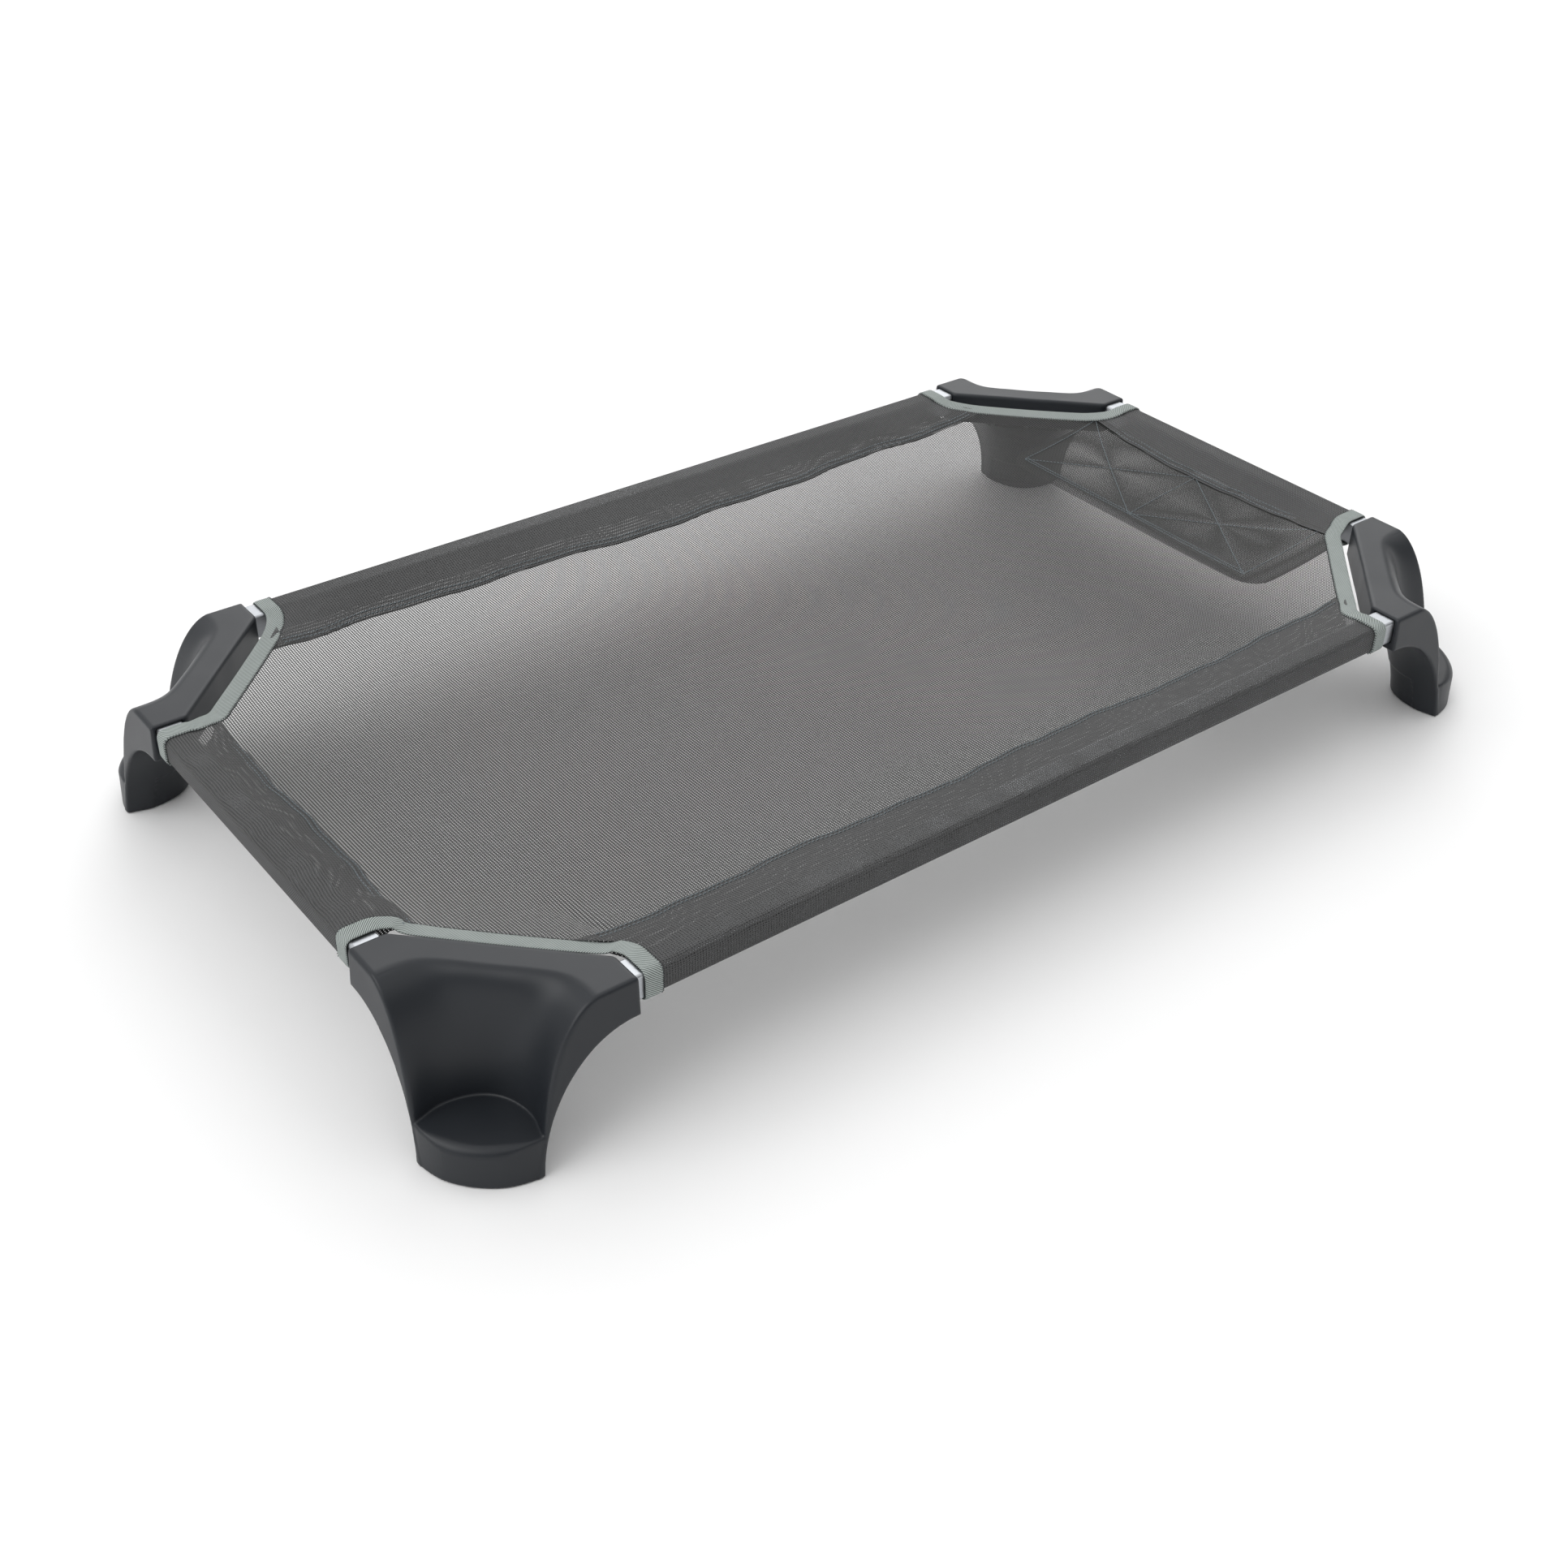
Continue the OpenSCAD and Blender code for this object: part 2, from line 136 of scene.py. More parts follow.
# u + v along the middle of each strap
WEB_SUM = {"front_left": 214.5, "front_right": 222.8, "back_left": 222.8, "back_right": 222.8}


# ---------------------------------------------------------------- materials
class Tree:
    """A material whose nodes are put together by short calls."""

    def __init__(self, name):
        self.mat = bpy.data.materials.new(name)
        self.mat.use_nodes = True
        self.tree = self.mat.node_tree
        self.tree.nodes.clear()
        out = self.tree.nodes.new("ShaderNodeOutputMaterial")
        self.bsdf = self.tree.nodes.new("ShaderNodeBsdfPrincipled")
        self.tree.links.new(self.bsdf.outputs[0], out.inputs[0])

    def put(self, socket, value):
        if isinstance(value, bpy.types.NodeSocket):
            self.tree.links.new(value, socket)
        else:
            socket.default_value = value

    def set(self, **values):
        for key, value in values.items():
            self.put(self.bsdf.inputs[key.replace("_", " ")], value)

    def node(self, kind, inputs, **settings):
        n = self.tree.nodes.new(kind)
        for key, value in settings.items():
            setattr(n, key, value)
        for key, value in inputs.items():
            self.put(n.inputs[key], value)
        return n

    def math(self, operation, *values):
        return self.node("ShaderNodeMath", dict(enumerate(values)), operation=operation).outputs[0]

    def range(self, value, low, high, to_low=0.0, to_high=1.0, kind="SMOOTHSTEP"):
        inputs = {"Value": value, "From Min": low, "From Max": high, "To Min": to_low, "To Max": to_high}
        return self.node("ShaderNodeMapRange", inputs, interpolation_type=kind).outputs[0]

    def blend(self, a, b, share):
        """a with its share, and b with what is left."""
        return self.math("ADD", self.math("MULTIPLY", a, share), self.math("MULTIPLY", b, 1 - share))

    def noise(self, vector, scale, detail=3.0, rough=0.55):
        inputs = {"Vector": vector, "Scale": scale, "Detail": detail, "Roughness": rough}
        return self.node("ShaderNodeTexNoise", inputs).outputs[0]

    def mix(self, share, a, b):
        n = self.node("ShaderNodeMix", {}, data_type="RGBA")
        self.put(n.inputs[0], share)
        self.put(n.inputs[6], (*a, 1) if isinstance(a, tuple) else a)
        self.put(n.inputs[7], (*b, 1) if isinstance(b, tuple) else b)
        return n.outputs[2]

    def bump(self, height, strength, distance):
        inputs = {"Height": height, "Strength": strength, "Distance": distance}
        return self.node("ShaderNodeBump", inputs).outputs[0]

    def place(self):
        return self.node("ShaderNodeTexCoord", {}).outputs["Object"]

    def scaled(self, vector, scale):
        return self.node("ShaderNodeMapping", {"Vector": vector, "Scale": scale}).outputs[0]

    def uv(self):
        weave = self.node("ShaderNodeUVMap", {}, uv_map="weave").outputs[0]
        n = self.node("ShaderNodeSeparateXYZ", {"Vector": weave})
        return n.outputs[0], n.outputs[1]


def plastic():
    t = Tree("foot_plastic")
    p = t.place()
    grain = t.noise(p, 1500.0, 2.0, 0.6)
    cloud = t.noise(p, 14.0, 3.0)
    # Convex edges painted lighter in patches: a painted highlight for the reflection along their rounding.
    edge = t.range(t.node("ShaderNodeNewGeometry", {}).outputs["Pointiness"], 0.52, 0.60)
    edge_highlight = t.math("MULTIPLY", edge, t.range(t.noise(p, 90.0, 4.0), 0.42, 0.62))
    base = t.mix(cloud, (0.0115, 0.0138, 0.0175), (0.0140, 0.0166, 0.0208))
    base = t.mix(t.math("MULTIPLY", edge_highlight, 0.35), base, (0.042, 0.047, 0.055))
    dull = t.range(t.blend(cloud, grain, 0.6), 0.25, 0.75, 0.34, 0.46, "LINEAR")
    t.set(Base_Color=base, Roughness=dull, Specular_IOR_Level=0.36)
    fine = t.bump(grain, 0.25, 0.00006)
    swell = {"Height": t.noise(p, 45.0, 2.0), "Strength": 0.12, "Distance": 0.0006, "Normal": fine}
    t.set(Normal=t.node("ShaderNodeBump", swell).outputs[0])
    return t.mat


def aluminium(name, stretch):
    t = Tree(name)
    p = t.place()
    streak = t.noise(t.scaled(p, stretch), 1.0, 3.0, 0.6)
    cloud = t.noise(p, 25.0, 3.0)
    base = t.mix(streak, (0.34, 0.355, 0.375), (0.50, 0.515, 0.535))
    t.set(Base_Color=base, Metallic=1.0)
    t.set(Roughness=t.range(t.blend(streak, cloud, 0.5), 0.3, 0.7, 0.32, 0.46, "LINEAR"))
    t.set(Normal=t.bump(streak, 0.12, 0.00008))
    return t.mat


def zinc():
    t = Tree("screw_steel")
    p = t.place()
    spots = t.noise(p, 500.0, 4.0, 0.65)
    t.set(Base_Color=t.mix(spots, (0.42, 0.43, 0.45), (0.62, 0.62, 0.60)), Metallic=1.0)
    t.set(Roughness=t.range(spots, 0.3, 0.7, 0.25, 0.45, "LINEAR"), Normal=t.bump(spots, 0.2, 0.00006))
    return t.mat


def cloth(name, dark, light, cover, shine):
    """Open plain weave. cover is the share of a yarn's pitch that the yarn fills."""
    t = Tree(name)
    u, v = t.uv()
    a, b = t.math("DIVIDE", u, YARN_X * MM), t.math("DIVIDE", v, YARN_Y * MM)
    across = []
    for c in (a, b):
        off = t.math("ABSOLUTE", t.math("SUBTRACT", t.math("FRACT", c), 0.5))
        across.append(t.math("MULTIPLY", off, 2.0))
    gaps = [t.range(c, cover - 0.06, cover + 0.06) for c in across]
    hole = t.math("MULTIPLY", *gaps)
    turn = t.math("MULTIPLY", *(t.math("SINE", t.math("MULTIPLY", c, math.pi)) for c in (a, b)))
    crowns = []
    for c, sign in zip(across, (0.45, -0.45)):
        share = t.math("DIVIDE", c, cover)
        below = t.math("SUBTRACT", 1.0, t.math("MULTIPLY", share, share))
        crown = t.math("SQRT", t.math("MAXIMUM", below, 0.0))
        crowns.append(t.math("MULTIPLY", crown, t.math("ADD", t.math("MULTIPLY", turn, sign), 0.55)))
    height = t.math("MAXIMUM", *crowns)
    p = t.place()
    cloud = t.noise(p, 6.0, 3.0)
    cell = t.node("ShaderNodeCombineXYZ", {0: t.math("FLOOR", a), 1: t.math("FLOOR", b), 2: 0.0})
    slub = t.noise(cell.outputs[0], 0.37, 1.0)
    # Yarns painted darker where they dip at the crossings: painted shade. The slub share is each yarn's own
    # tone.
    base = t.mix(t.blend(height, slub, 0.7), dark, light)
    base = t.mix(t.range(cloud, 0.35, 0.65, 0.0, 0.12), base, tuple(1.25 * c for c in light))
    t.set(Base_Color=base, Alpha=t.math("SUBTRACT", 1.0, hole))
    t.set(Roughness=t.range(height, 0.0, 1.0, 0.72, 0.5, "LINEAR"), Specular_IOR_Level=shine)
    t.set(Normal=t.bump(height, 0.7, 0.0005))
    return t.mat


def webbing():
    """Twill tape: slanting ribs that turn back at the middle."""
    t = Tree("webbing")
    u, v = t.uv()
    slope = t.math("ADD", u, t.math("MULTIPLY", v, 0.9))
    rib = t.math("SINE", t.math("MULTIPLY", slope, 2 * math.pi / 0.0021))
    pick = t.math("SINE", t.math("MULTIPLY", v, 2 * math.pi / 0.0009))
    height = t.math("ADD", t.math("MULTIPLY", rib, 0.5), t.math("MULTIPLY", pick, 0.14))
    height = t.range(height, -0.6, 0.6)
    p = t.place()
    cloud = t.noise(p, 60.0, 3.0)
    fuzz = t.noise(p, 2500.0, 2.0)
    base = t.mix(height, (0.050, 0.060, 0.058), (0.44, 0.485, 0.465))
    base = t.mix(t.range(cloud, 0.35, 0.7, 0.0, 0.25), base, (0.30, 0.33, 0.32))
    t.set(Base_Color=base, Roughness=t.range(fuzz, 0.3, 0.7, 0.6, 0.8, "LINEAR"), Specular_IOR_Level=0.3)
    t.set(Normal=t.bump(t.math("ADD", height, t.math("MULTIPLY", fuzz, 0.2)), 0.55, 0.0005))
    return t.mat


def thread(name, dark, light):
    t = Tree(name)
    u, v = t.uv()
    slope = t.math("ADD", u, t.math("MULTIPLY", v, 0.6))
    ply = t.math("SINE", t.math("MULTIPLY", slope, 2 * math.pi / 0.0011))
    twist = t.range(ply, -1.0, 1.0)
    fuzz = t.noise(t.place(), 1800.0, 2.0)
    t.set(Base_Color=t.mix(t.blend(twist, fuzz, 0.7), dark, light))
    t.set(Roughness=t.range(fuzz, 0.3, 0.7, 0.5, 0.7, "LINEAR"), Normal=t.bump(twist, 0.5, 0.00015))
    return t.mat


def floor_paint():
    t = Tree("floor")
    fleck = t.noise(t.place(), 3.0, 2.0)
    t.set(Base_Color=t.mix(fleck, (0.86, 0.86, 0.86), (0.875, 0.875, 0.875)))
    t.set(Roughness=0.9, Specular_IOR_Level=0.1)
    return t.mat


MATERIALS = {
    "foot_plastic": plastic(),
    "tube_x": aluminium("tube_aluminium_x", (6.0, 2200.0, 2200.0)),
    "tube_y": aluminium("tube_aluminium_y", (2200.0, 6.0, 2200.0)),
    "screw_steel": zinc(),
    "mesh_cloth": cloth("mesh_cloth", (0.017, 0.017, 0.0168), (0.060, 0.060, 0.0592), 0.43, 0.25),
    # The same cloth as the panel: its darker colours are painted shade on the flap lying under the panel.
    "flap_cloth": cloth("flap_cloth", (0.015, 0.015, 0.0149), (0.050, 0.050, 0.0493), 0.52, 0.25),
    # The same cloth again: its lighter colours are painted light on the sleeves round the tubes.
    "sleeve_cloth": cloth("sleeve_cloth", (0.023, 0.023, 0.0233), (0.080, 0.0805, 0.081), 0.66, 0.3),
    "webbing": webbing(),
    "thread": thread("thread", (0.09, 0.115, 0.13), (0.24, 0.28, 0.30)),
    "edge_thread": thread("edge_thread", (0.012, 0.014, 0.016), (0.04, 0.045, 0.05)),
}


# ---------------------------------------------------------------- meshes
def piece(name, points, faces, materials, uv=None, face_materials=None):
    """A smooth-shaded mesh object from points in millimetres, riding on the one body."""
    mesh = bpy.data.meshes.new(name)
    faces = faces if isinstance(faces, list) else faces.tolist()
    mesh.from_pydata((np.asarray(points, float) * MM).tolist(), [], faces)
    for m in materials:
        mesh.materials.append(MATERIALS[m])
    if uv is not None:
        layer = mesh.uv_layers.new(name="weave")
        index = np.zeros(len(mesh.loops), np.int32)
        mesh.loops.foreach_get("vertex_index", index)
        layer.data.foreach_set("uv", (np.asarray(uv, float)[index] * MM).astype(np.float32).ravel())
    if face_materials is not None:
        mesh.polygons.foreach_set("material_index", np.asarray(face_materials, np.int32))
    mesh.polygons.foreach_set("use_smooth", [True] * len(mesh.polygons))
    mesh.update()
    obj = bpy.data.objects.new(name, mesh)
    bpy.context.scene.collection.objects.link(obj)
    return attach(obj, "root")


def grid_faces(rows, columns, wrap=False, start=0):
    """Quads of a grid of points, row after row. wrap joins the last column to the first."""
    r, c = np.meshgrid(np.arange(rows - 1), np.arange(columns if wrap else columns - 1), indexing="ij")
    d = (c + 1) % columns
    quads = np.stack([r * columns + c, r * columns + d, (r + 1) * columns + d, (r + 1) * columns + c], -1)
    return quads.reshape(-1, 4) + start


def from_corner(points, corner):
    """Corner coordinates u, v, z, inward from the bed's corner, to the bed's own."""
    sx, sy = corner
    p = np.asarray(points, float)
    return np.stack([sx * (HALF_L - p[..., 0]), sy * (HALF_W - p[..., 1]), p[..., 2]], -1)


# ---------------------------------------------------------------- feet
VOXEL = 1.25
BAND = 6       # voxels on each side of a surface that hold true distances
OUT = 9.0      # how far the loops run past the outer sides
STEPS = 72     # points along a loop's curve
LEVELS = 56    # loops up a solid


def lean(z):
    """How far the outer sides stand out at height z."""
    return FOOT_LEAN * (1 - z / BED_H)


def quarter(reach, depth, power, pinch):
    """A corner cut off by a flat across the diagonal, from [reach, 0] to [0, reach]."""
    t = np.linspace(0, math.pi / 2, STEPS + 1)
    side = reach / (1 - pinch)
    bend = (np.cos(t) / side) ** power + (np.sin(t) / side) ** power
    bend = bend + (np.cos(t - math.pi / 4) / depth) ** power
    r = bend ** (-1 / power) * (1 - pinch * np.abs(np.cos(2 * t)) ** 10)
    return np.stack([r * np.cos(t), r * np.sin(t)], -1)


def toe_arc(end, inset, apex):
    """The toe's outline from [end, inset] to [inset, end], apex away from the corner at its middle."""
    mid, chord = (end + inset) / ROOT2, (end - inset) / ROOT2
    rise = mid - apex
    r = (chord * chord + rise * rise) / (2 * rise)
    a = math.asin(chord / r) * np.linspace(-1, 1, STEPS + 1)
    away, side = apex + r - r * np.cos(a), -r * np.sin(a)
    return np.stack([(away + side) / ROOT2, (away - side) / ROOT2], -1)


def scoop_curve(t):
    """The scoop's outline, t from 0 at the ledge to 1 at the top."""
    reach = 73 + 14 * t + 39 * (1 - math.sqrt(1 - t ** 2.7))
    depth = 96 - 3 * t + 20 * (1 - math.sqrt(1 - t ** 5))
    return quarter(reach, depth, 8 + 12 * t * t, 0.09 * (1 - t) ** 1.5)


def under_curve(t, inward=0):
    """The leg's inner outline, t from 0 at the floor to 1 under the arms."""
    reach = 158 - 85 * (1 - t * t) ** (1 / 2.1) - inward
    flare = (FOOT_ARM + FOOT_BAND) / ROOT2 - 1 - 110.5
    depth = 97 + 13.5 * t + flare * (1 - math.sqrt(1 - t ** 4)) - inward
    return quarter(reach, depth, 8 + 8 * t * t, 0.09 * math.sqrt(1 - t))


def toe_end(t):
    """Where the toe meets the outer sides, t from 0 at the floor to 1 at the ledge."""
    return 64 + 8.5 * t


def toe_apex(t):
    return toe_end(t) / ROOT2 - 14.5 - 7.5 * t


class Field:
    """Signed distances on the foot's block of voxels, negative inside."""

    low = np.array([-12, -12, -5])
    size = (144, 144, 126)
    u, v, z = (np.indices(size, dtype=np.float32) + low[:, None, None, None]) * VOXEL

    @classmethod
    def of_loops(cls, loops):
        """Distance from a closed solid through loops of points [(xy, z), ...], bottom first."""
        n = len(loops[0][0])
        points = np.concatenate([np.c_[np.asarray(xy) - lean(z), np.full(n, z)] for xy, z in loops])
        quads = grid_faces(len(loops), n, wrap=True)
        cap = tessellate_polygon([[Vector((*p, 0)) for p in loops[0][0]]])
        top = tessellate_polygon([[Vector((*p, 0)) for p in loops[-1][0]]])
        last = (len(loops) - 1) * n
        triangles = [(a, c, b) for a, b, c in cap] + [(a + last, b + last, c + last) for a, b, c in top]
        triangles = np.array(triangles)
        grid = openvdb.FloatGrid.createLevelSetFromPolygons(
            points.astype(np.float32), triangles=triangles.astype(np.uint32), quads=quads.astype(np.uint32),
            transform=openvdb.createLinearTransform(VOXEL), halfWidth=BAND)
        out = np.zeros(cls.size, np.float32)
        grid.copyToArray(out, ijk=tuple(int(x) for x in cls.low))
        return out


def both(a, b, r):
    """Space inside both, with their edge rounded to radius r."""
    x, y = np.maximum(a + r, 0), np.maximum(b + r, 0)
    return np.minimum(-r, np.maximum(a, b)) + np.sqrt(x * x + y * y)


def crowd(n, power):
    """Shares from 0 to 1 that lie closer together towards 1."""
    return [1 - (1 - i / n) ** power for i in range(n + 1)]


def foot_field():
    f = Field

    def out_to_sides(curve, z):
        r = curve[0][0]
        ends = [[-OUT, r], [-OUT, -OUT]]
        return np.concatenate([[[r, -OUT]], curve, ends]), z

    def hollow_loop(t, z):
        side = 2 * FOOT_WALL
        back = under_curve(max(z, 0) / ARM_Z, FOOT_WALL)
        reach = back[0][0]
        front = toe_arc(toe_end(t) - TOE_HOLLOW, side, toe_apex(t) + FOOT_WALL)
        skip = STEPS // 8
        return np.concatenate([[[reach, side]], back[skip:-skip], [[side, reach]], front[::-1]]), z

    legs = [out_to_sides(under_curve(0), -OUT)]
    legs += [out_to_sides(under_curve(t), ARM_Z * t) for t in crowd(LEVELS, 1.6)]
    leg = f.of_loops(legs + [out_to_sides(under_curve(1), ARM_Z + 5)])
    scoops = [out_to_sides(scoop_curve(t), LEDGE_Z + (BED_H - LEDGE_Z) * t) for t in crowd(LEVELS, 2.4)]
    scoop = f.of_loops(scoops + [out_to_sides(scoop_curve(1), BED_H + OUT)])
    toes = ((0, -OUT), (0, 0), (0.5, LEDGE_Z / 2), (1, LEDGE_Z), (1.1, LEDGE_Z * 1.1))
    toe = f.of_loops([out_to_sides(toe_arc(toe_end(t), 0, toe_apex(t)), z) for t, z in toes])
    hollow = f.of_loops([hollow_loop(t, (LEDGE_Z - FOOT_WALL) * t) for t in (-0.25, 0, 0.25, 0.5, 0.75, 1)])

    out = lean(f.z)
    aside = np.abs(f.u - f.v) / ROOT2
    inner = (f.u + f.v - FOOT_ARM - FOOT_BAND) / ROOT2
    arm = both(both(both(f.u - FOOT_ARM, inner, 3), f.v - FOOT_ARM, 3), ARM_Z - f.z, 1.5)
    body = np.minimum(leg, arm)
    recess = both(both(-(leg + RECESS_DEPTH), f.z - RECESS_H, 0.4), aside - RECESS_HALF_W, 0.4)
    body = both(body, -recess, 0.4)
    body = both(both(body, -f.u - out, 2.5), -f.v - out, 2.5)
    capped = both(body, f.z - BED_H, 3.5)
    body = np.maximum(capped, both(body, -scoop, 3))
    lip = 2 + 8 * np.clip(1 - (aside / 46) ** 2, 0, 1)
    body = both(body, -toe, lip)
    body = both(body, -f.z, 1.2)
    body = both(body, -hollow, 0.8)

    # the ribbed hollow under the arms
    wall = (FOOT_ARM + FOOT_BAND) / ROOT2 - FOOT_WALL
    inward, sideways = (f.u + f.v) / ROOT2, (f.u - f.v) / ROOT2
    core = np.maximum.reduce([CORE_IN - f.u, CORE_IN - f.v, CORE_BACK - inward, inward - wall,
                              ARM_Z - CORE_BELOW - f.z, f.z - BED_H + FOOT_WALL])
    bay = (wall - CORE_IN * ROOT2) * 2 / RIB_BAYS
    rib = FOOT_WALL / 2 - np.abs(sideways - bay * np.round(sideways / bay))
    body = both(body, -np.maximum(core, rib), 0.6)

    # sockets and screw holes, along both arms
    socket = TUBE / 2 + TUBE_CLEARANCE
    for along, across in ((f.u, f.v), (f.v, f.u)):
        hole = np.maximum.reduce([np.abs(across - TUBE_V) - socket, np.abs(f.z - TUBE_Z) - socket,
                                  FOOT_ARM - TUBE_GRIP - 1 - along])
        body = both(body, -hole, 0.5)
        away = np.hypot(along - SCREW_U, across - TUBE_V)
        seat = TUBE_Z - TUBE / 2 - SCREW_HEAD_DOWN
        body = np.maximum(body, -np.maximum(away - SCREW_HEAD_R, f.z - seat))
        body = np.maximum(body, -np.maximum(away - SCREW_R, f.z - TUBE_Z))
    return body


def foot_mesh():
    grid = openvdb.FloatGrid(background=BAND * VOXEL)
    grid.copyFromArray(foot_field().astype(np.float32), ijk=tuple(int(x) for x in Field.low))
    grid.transform = openvdb.createLinearTransform(VOXEL)
    points, quads = grid.convertToQuads(isovalue=0.0)
    return np.asarray(points, float), np.asarray(quads, np.int64)


foot_points, foot_quads = foot_mesh()
for corner_name, corner in CORNERS.items():
    turned = foot_quads if corner[0] * corner[1] > 0 else foot_quads[:, ::-1]
    shell = piece("shell_" + corner_name, from_corner(foot_points, corner), turned, ["foot_plastic"])
    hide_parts("foot_" + corner_name)

# ---------------------------------------------------------------- tubes and screws
for side in ("front", "back", "left", "right"):
    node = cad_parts["tube_" + side]
    node.data.materials.clear()
    node.data.materials.append(MATERIALS["tube_x" if side in ("front", "back") else "tube_y"])
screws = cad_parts["tube_screws"]
screws.data.materials.clear()
screws.data.materials.append(MATERIALS["screw_steel"])


# ---------------------------------------------------------------- cloth
def cut_distance(x, y):
    """Distance inward from the nearest cut corner's edge."""
    return (HALF_L - np.abs(x) + HALF_W - np.abs(y) - CUT_SUM) / ROOT2


def corner_rise(x, y):
    """How far the webbing lifts the cloth above the hems' level."""
    away = np.maximum(cut_distance(x, y), 0)
    return (STRAP_Z - HEM_Z) * np.exp(-((away / 40) ** 1.3))


# Waves of each hem: (rise or fall of its width, wavelength, phase)
HEM_WAVES = {
    "front": (-3.0, [(2.2, 310, 0.4), (1.2, 118, 1.9), (0.6, 47, 0.3)]),
    "back": (-2.0, [(5.0, 620, 1.2), (2.6, 205, 2.6), (1.1, 83, 0.2)]),
    "left": (1.5, [(2.6, 330, 2.2), (1.2, 96, 0.5), (0.5, 41, 1.0)]),
    "right": (1.0, [(1.6, 260, 0.9), (0.8, 74, 2.9), (0.4, 39, 0.1)]),
}


def hem_width(side, along):
    """From the foot's outer side to the hem, along a tube."""
    shift, waves = HEM_WAVES[side]
    out = (LONG_HEM if side in ("front", "back") else SHORT_HEM) + shift
    return out + sum(a * np.sin(2 * math.pi * along / w + p) for a, w, p in waves)


def cloth_end(v):
    """Distance from the bed's corner, along a tube, to the cloth's edge at distance v in."""
    return np.minimum(CLOTH_U, CUT_SUM - v)


def on_side(side, along, v, z):
    """A point of a sleeve: along its tube, v in from the foot's outer side, at height z."""
    if side in ("front", "back"):
        return np.stack([along, (v - HALF_W) if side == "front" else (HALF_W - v), z], -1)
    return np.stack([(v - HALF_L) if side == "left" else (HALF_L - v), along, z], -1)


def sleeve_section(width, hem_z):
    """Cross-section of a sleeve, from the hem's top layer round the tube to its lower one."""
    r, h = SLEEVE_R, TUBE / 2 + SLEEVE_OFF - SLEEVE_R
    high, low = TUBE_Z + h, TUBE_Z - h

    def arc(v, z, a, b, n):
        return [(v + r * math.cos(x), z + r * math.sin(x)) for x in np.linspace(a, b, n)]

    top_slope = math.atan2(high + r - hem_z, width - TUBE_V - h)
    low_slope = math.atan2(hem_z - low + r, width - TUBE_V - h)
    half_pi = math.pi / 2
    outline = arc(TUBE_V + h, high, half_pi - top_slope, half_pi, 4)
    outline += arc(TUBE_V - h, high, half_pi, math.pi, 7)
    outline += arc(TUBE_V - h, low, math.pi, 3 * half_pi, 7)
    outline += arc(TUBE_V + h, low, 3 * half_pi, 3 * half_pi + low_slope, 4)
    first, last = np.array(outline[0]), np.array(outline[-1])
    start, end = np.array([width, hem_z + HEM_HALF]), np.array([width, hem_z - HEM_HALF])
    share = np.linspace(0, 1, 14)[:-1, None]
    return np.concatenate([start + (first - start) * share, outline, last + (end - last) * (1 - share[::-1])])


def tube_half(side):
    """Half the bed's length or width, along a side's tube."""
    return HALF_L if side in ("front", "back") else HALF_W


def hem_level(side, along, width):
    """Height of the hem, which the webbing lifts near the corners."""
    p = on_side(side, along, width, np.zeros_like(along))
    return HEM_Z + corner_rise(p[..., 0], p[..., 1])


def sleeve(side):
    """The sleeve round a tube, the size it was cut to and its area."""
    long_side = side in ("front", "back")
    half = tube_half(side)
    stations = np.linspace(-1, 1, int(2 * half / 6))
    guess = stations * (half - cloth_end(70))
    width = hem_width(side, guess)
    level = hem_level(side, guess, width)
    points, uv = [], []
    for s, w, z in zip(stations, width, level):
        section = sleeve_section(w, z)
        along = s * (half - cloth_end(section[:, 0]))
        points.append(on_side(side, along, section[:, 0], section[:, 1]))
        girth = np.concatenate([[0], np.cumsum(np.linalg.norm(np.diff(section, axis=0), axis=1))])
        uv.append(np.stack([along, girth] if long_side else [girth, along], -1))
    columns = len(points[0])
    obj = piece("sleeve_sheet_" + side, np.concatenate(points), grid_faces(len(points), columns),
                ["sleeve_cloth"], np.concatenate(uv))
    area = sum(p.area for p in obj.data.polygons)
    girth = float(np.max([u[:, 1 if long_side else 0].max() for u in uv])) * MM
    length = 2 * (half - cloth_end(70)) * MM
    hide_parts("sleeve_" + side)
    return obj, (round(girth, 3), round(length, 3)), area


sleeves = {side: sleeve(side) for side in HEM_WAVES}

# The two boxes of stitching on the flap, each by its corners
STITCH_BOXES = [
    ((427, 162), (552, 174), (551, 13), (427, -3)),
    ((427, -3), (551, 13), (556, -162), (426, -169)),
]


def box_pucker(x, y):
    """Bulge of the cloth between the crossed stitches."""
    out = np.zeros_like(x)
    for box in STITCH_BOXES:
        xs, ys = [p[0] for p in box], [p[1] for p in box]
        p = 2 * (x - min(xs)) / (max(xs) - min(xs)) - 1
        q = 2 * (y - min(ys)) / (max(ys) - min(ys)) - 1
        inside = np.maximum(np.abs(p), np.abs(q)) < 1
        bulge = np.abs(np.abs(p) - np.abs(q)) * (1 - np.maximum(np.abs(p), np.abs(q)))
        out += np.where(inside, bulge, 0)
    return out


def panel_z(x, y):
    """Height of the mesh panel."""
    sag = SAG * np.clip(1 - (x / 550) ** 2, 0, 1) * np.clip(1 - (y / 265) ** 2, 0, 1)
    ripple = 0.35 * np.sin(x / 61 + 0.7) * np.sin(y / 43 + 1.1)
    # the crease that runs in from the front left strap
    t = np.clip((y + 285) / 85, 0, 1)
    line = -428 - 0.24 * (y + 285)
    crease = CREASE * (1 - t) ** 0.7 * np.exp(-(((x - line) / (5 + 8 * t)) ** 2))
    inward = cut_distance(x, y)
    edge = [np.clip(inward / width, 0, 1) for width in (25, 60)]
    pucker = PUCKER * box_pucker(x, y)
    return HEM_Z + corner_rise(x, y) - sag + ripple * edge[1] + pucker - crease * edge[0]


